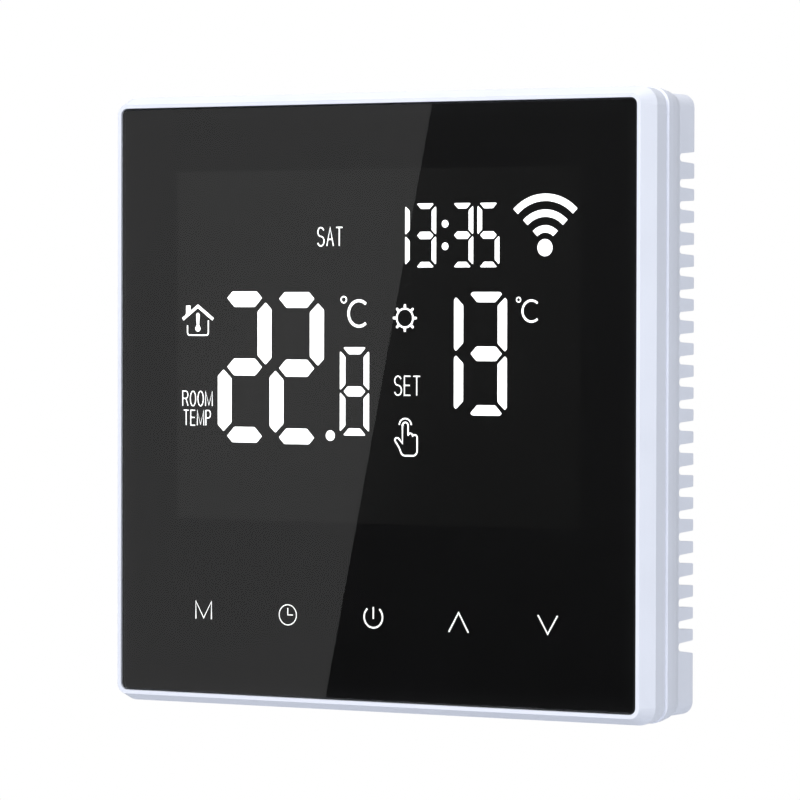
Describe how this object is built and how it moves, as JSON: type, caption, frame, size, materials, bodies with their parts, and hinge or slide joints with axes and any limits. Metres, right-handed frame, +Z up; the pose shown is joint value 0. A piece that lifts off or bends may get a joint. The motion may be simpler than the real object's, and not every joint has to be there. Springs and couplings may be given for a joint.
{
  "type": "wall thermostat",
  "caption": "Square white wall thermostat with a black glass touch display that unplugs from a vented wall base with a power box and screw terminals behind it.",
  "frame": {"origin": "on the wall plane, midway between the two wall screws, which is also behind the middle of the square face", "axes": "+Z up, +X to the right seen from the front, the glass faces -Y and +Y goes into the wall"},
  "size_m": [0.086, 0.0421, 0.086],
  "materials": {
    "white_case": "fine spark-eroded texture, slightly warm under light",
    "box_case": "plain moulded",
    "front_glass": "flat tempered glass with polished edge",
    "black_print": "screen-printed ink on film",
    "black_tape": "foam tape",
    "polariser": "dark film",
    "lcd_glass": "thin display glass",
    "white_film": "optical film",
    "clear_acrylic": "moulded light guide",
    "white_tray": "moulded",
    "led_body": "phosphor and white body",
    "tin_plate": "tinned",
    "circuit_board": "solder mask over copper",
    "steel_screw": "zinc plated",
    "spring_wire": "gold-plated wire",
    "chip_black": "moulding compound",
    "shield_can": "pressed",
    "battery_metal": "nickel plated",
    "smd_parts": "small chip parts",
    "sensor_bead": "epoxy",
    "gold_pins": "gold flash",
    "insulator": "moulded",
    "relay_blue": "moulded cover",
    "winding": "enamelled copper",
    "magnet_steel": "plain",
    "contact_metal": "silver on copper alloy",
    "ferrite": "sintered",
    "trafo_tape": "polyester tape",
    "film_cap": "potted box",
    "can_sleeve": "shrink sleeve",
    "varistor_coat": "epoxy coat",
    "fuse_metal": "nickel caps and glass",
    "terminal_green": "moulded",
    "bar_metal": "tinned brass"
  },
  "bodies": {
    "wall_base": {"base_shell": "white_case", "power_box": "box_case", "box_screws": "steel_screw", "inner_cover": "insulator", "cover_screws": "steel_screw", "power_board": "circuit_board", "header_socket": "chip_black", "relay_cover": "relay_blue", "relay_base": "chip_black", "relay_coil": "winding", "relay_yoke": "magnet_steel", "relay_contacts": "contact_metal", "transformer_core": "ferrite", "transformer_winding": "trafo_tape", "safety_capacitor": "film_cap", "smoothing_capacitors": "can_sleeve", "varistor": "varistor_coat", "fuse": "fuse_metal", "terminal_block": "terminal_green", "terminal_bars": "bar_metal"},
    "front_unit": {"bezel_frame": "white_case", "glass_panel": "front_glass", "glass_mask": "black_print", "glass_tape": "black_tape", "front_polariser": "polariser", "lcd_cell": "lcd_glass", "rear_polariser": "polariser", "diffuser_film": "white_film", "light_guide": "clear_acrylic", "reflector_film": "white_film", "backlight_tray": "white_tray", "backlight_leds": "led_body", "lcd_pins": "tin_plate", "display_board": "circuit_board", "board_screws": "steel_screw", "touch_springs": "spring_wire", "key_leds": "led_body", "mcu_chip": "chip_black", "wifi_module": "shield_can", "buzzer": "chip_black", "clock_battery": "battery_metal", "crystal": "shield_can", "board_passives": "smd_parts", "room_sensor": "sensor_bead", "header_body": "chip_black", "header_pins": "gold_pins"},
    "armature": {"relay_armature": "magnet_steel"},
    "screw_1": {"terminal_screw_1": "steel_screw"},
    "clamp_1": {"terminal_clamp_1": "bar_metal"},
    "screw_2": {"terminal_screw_2": "steel_screw"},
    "clamp_2": {"terminal_clamp_2": "bar_metal"},
    "screw_3": {"terminal_screw_3": "steel_screw"},
    "clamp_3": {"terminal_clamp_3": "bar_metal"},
    "screw_4": {"terminal_screw_4": "steel_screw"},
    "clamp_4": {"terminal_clamp_4": "bar_metal"},
    "screw_5": {"terminal_screw_5": "steel_screw"},
    "clamp_5": {"terminal_clamp_5": "bar_metal"},
    "screw_6": {"terminal_screw_6": "steel_screw"},
    "clamp_6": {"terminal_clamp_6": "bar_metal"}
  },
  "joints": [
    {"name": "front_unit_pull", "type": "slide", "parent": "wall_base", "child": "front_unit", "axis": [0, -1, 0], "range_m": [0, 0.03]},
    {"name": "relay_armature_tilt", "type": "hinge", "parent": "wall_base", "child": "armature", "pos_m": [-0.0166, 0.0165, 0.008], "axis": [0, 0, -1], "range_deg": [0, 3.8], "stiffness_Nm_per_rad": 0.0005, "springref_deg": -2.86},
    {"name": "terminal_screw_1_turn", "type": "hinge", "parent": "wall_base", "child": "screw_1", "pos_m": [-0.0127, 0.0212, -0.0146], "axis": [0, -1, 0], "range_deg": [0, 1440]},
    {"name": "terminal_clamp_1_rise", "type": "slide", "parent": "wall_base", "child": "clamp_1", "axis": [0, 1, 0], "range_m": [0, 0.002]},
    {"name": "terminal_screw_2_turn", "type": "hinge", "parent": "wall_base", "child": "screw_2", "pos_m": [-0.00762, 0.0212, -0.0146], "axis": [0, -1, 0], "range_deg": [0, 1440]},
    {"name": "terminal_clamp_2_rise", "type": "slide", "parent": "wall_base", "child": "clamp_2", "axis": [0, 1, 0], "range_m": [0, 0.002]},
    {"name": "terminal_screw_3_turn", "type": "hinge", "parent": "wall_base", "child": "screw_3", "pos_m": [-0.00254, 0.0212, -0.0146], "axis": [0, -1, 0], "range_deg": [0, 1440]},
    {"name": "terminal_clamp_3_rise", "type": "slide", "parent": "wall_base", "child": "clamp_3", "axis": [0, 1, 0], "range_m": [0, 0.002]},
    {"name": "terminal_screw_4_turn", "type": "hinge", "parent": "wall_base", "child": "screw_4", "pos_m": [0.00254, 0.0212, -0.0146], "axis": [0, -1, 0], "range_deg": [0, 1440]},
    {"name": "terminal_clamp_4_rise", "type": "slide", "parent": "wall_base", "child": "clamp_4", "axis": [0, 1, 0], "range_m": [0, 0.002]},
    {"name": "terminal_screw_5_turn", "type": "hinge", "parent": "wall_base", "child": "screw_5", "pos_m": [0.00762, 0.0212, -0.0146], "axis": [0, -1, 0], "range_deg": [0, 1440]},
    {"name": "terminal_clamp_5_rise", "type": "slide", "parent": "wall_base", "child": "clamp_5", "axis": [0, 1, 0], "range_m": [0, 0.002]},
    {"name": "terminal_screw_6_turn", "type": "hinge", "parent": "wall_base", "child": "screw_6", "pos_m": [0.0127, 0.0212, -0.0146], "axis": [0, -1, 0], "range_deg": [0, 1440]},
    {"name": "terminal_clamp_6_rise", "type": "slide", "parent": "wall_base", "child": "clamp_6", "axis": [0, 1, 0], "range_m": [0, 0.002]}
  ],
  "couplings": [
    {"joint": "terminal_screw_1_turn", "follows": "terminal_clamp_1_rise", "rad_per_m": 12566},
    {"joint": "terminal_screw_2_turn", "follows": "terminal_clamp_2_rise", "rad_per_m": 12566},
    {"joint": "terminal_screw_3_turn", "follows": "terminal_clamp_3_rise", "rad_per_m": 12566},
    {"joint": "terminal_screw_4_turn", "follows": "terminal_clamp_4_rise", "rad_per_m": 12566},
    {"joint": "terminal_screw_5_turn", "follows": "terminal_clamp_5_rise", "rad_per_m": 12566},
    {"joint": "terminal_screw_6_turn", "follows": "terminal_clamp_6_rise", "rad_per_m": 12566}
  ]
}
